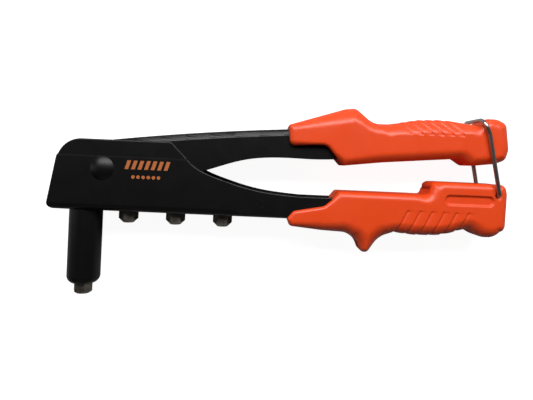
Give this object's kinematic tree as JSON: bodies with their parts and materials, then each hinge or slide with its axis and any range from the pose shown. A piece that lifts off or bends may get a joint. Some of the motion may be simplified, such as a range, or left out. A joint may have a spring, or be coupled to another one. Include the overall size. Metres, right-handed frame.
{
  "type": "hand riveter",
  "caption": "Hand riveter for blind rivets, with a pressed black body, moulded grips, screw-in nosepieces, gripping jaws and a wire latch.",
  "frame": {"origin": "centre of the fitted nosepiece's mouth, in the tool's middle plane", "axes": "+X along the handles, -Y the way the nose points, +Z across the tool, up as it lies on its side"},
  "size_m": [0.2615, 0.1147, 0.0292],
  "materials": {
    "black_paint": "satin black paint",
    "black_pin": "satin black paint over steel",
    "orange_grip": "satin moulded orange",
    "nose_steel": "dull oiled steel",
    "bail_wire": "bright drawn wire",
    "turned_steel": "turned steel",
    "jaw_steel": "hardened steel",
    "spring_steel": "oiled spring wire"
  },
  "bodies": {
    "frame": {"body_frame": "black_paint", "arm_rivet": "black_pin", "pivot_pin": "black_pin", "pivot_ring": "turned_steel", "pivot_bush": "turned_steel", "barrel": "black_paint", "barrel_connector": "turned_steel", "nosepiece_3_2": "nose_steel", "nosepiece_2_4": "nose_steel", "nosepiece_4_0": "nose_steel", "nosepiece_4_8": "nose_steel", "lower_grip": "orange_grip", "return_spring": "spring_steel"},
    "lever": {"lever": "black_paint", "upper_grip": "orange_grip"},
    "draw": {"draw_head": "turned_steel", "draw_tube": "turned_steel", "jaw_case": "turned_steel", "jaw_case_locknut": "turned_steel", "jaw_spring": "spring_steel"},
    "jaw_1": {"jaw_1": "jaw_steel"},
    "jaw_2": {"jaw_2": "jaw_steel"},
    "jaw_3": {"jaw_3": "jaw_steel"},
    "pusher": {"jaw_pusher": "turned_steel"},
    "bail": {"latch_bail": "bail_wire"}
  },
  "joints": [
    {"name": "lever_pivot", "type": "hinge", "parent": "frame", "child": "lever", "pos_m": [0.0122, 0.0737, 0], "axis": [0, 0, 1], "range_deg": [0, 85]},
    {"name": "draw_slide", "type": "slide", "parent": "frame", "child": "draw", "axis": [0, 1, 0], "range_m": [-0.0115, 0], "deforming": ["return_spring"]},
    {"name": "bail_swing", "type": "hinge", "parent": "frame", "child": "bail", "pos_m": [0.2367, 0.0679, 0], "axis": [0, 0, -1], "range_deg": [0, 225]},
    {"name": "jaw_1_slide", "type": "slide", "parent": "draw", "child": "jaw_1", "axis": [0.1736, 0.9848, 0], "range_m": [0, 0.0015], "stiffness_N_per_m": 300, "springref_m": -0.003},
    {"name": "jaw_2_slide", "type": "slide", "parent": "draw", "child": "jaw_2", "axis": [-0.0868, 0.9848, -0.1504], "range_m": [0, 0.0015]},
    {"name": "jaw_3_slide", "type": "slide", "parent": "draw", "child": "jaw_3", "axis": [-0.0868, 0.9848, 0.1504], "range_m": [0, 0.0015]},
    {"name": "pusher_slide", "type": "slide", "parent": "draw", "child": "pusher", "axis": [0, 1, 0], "range_m": [0, 0.0015], "deforming": ["jaw_spring"]}
  ],
  "couplings": [
    {"joint": "draw_slide", "follows": "lever_pivot", "m_per_rad": -0.0077417},
    {"joint": "jaw_2_slide", "follows": "jaw_1_slide", "ratio": 1},
    {"joint": "jaw_3_slide", "follows": "jaw_1_slide", "ratio": 1},
    {"joint": "pusher_slide", "follows": "jaw_1_slide", "ratio": 0.98481}
  ]
}
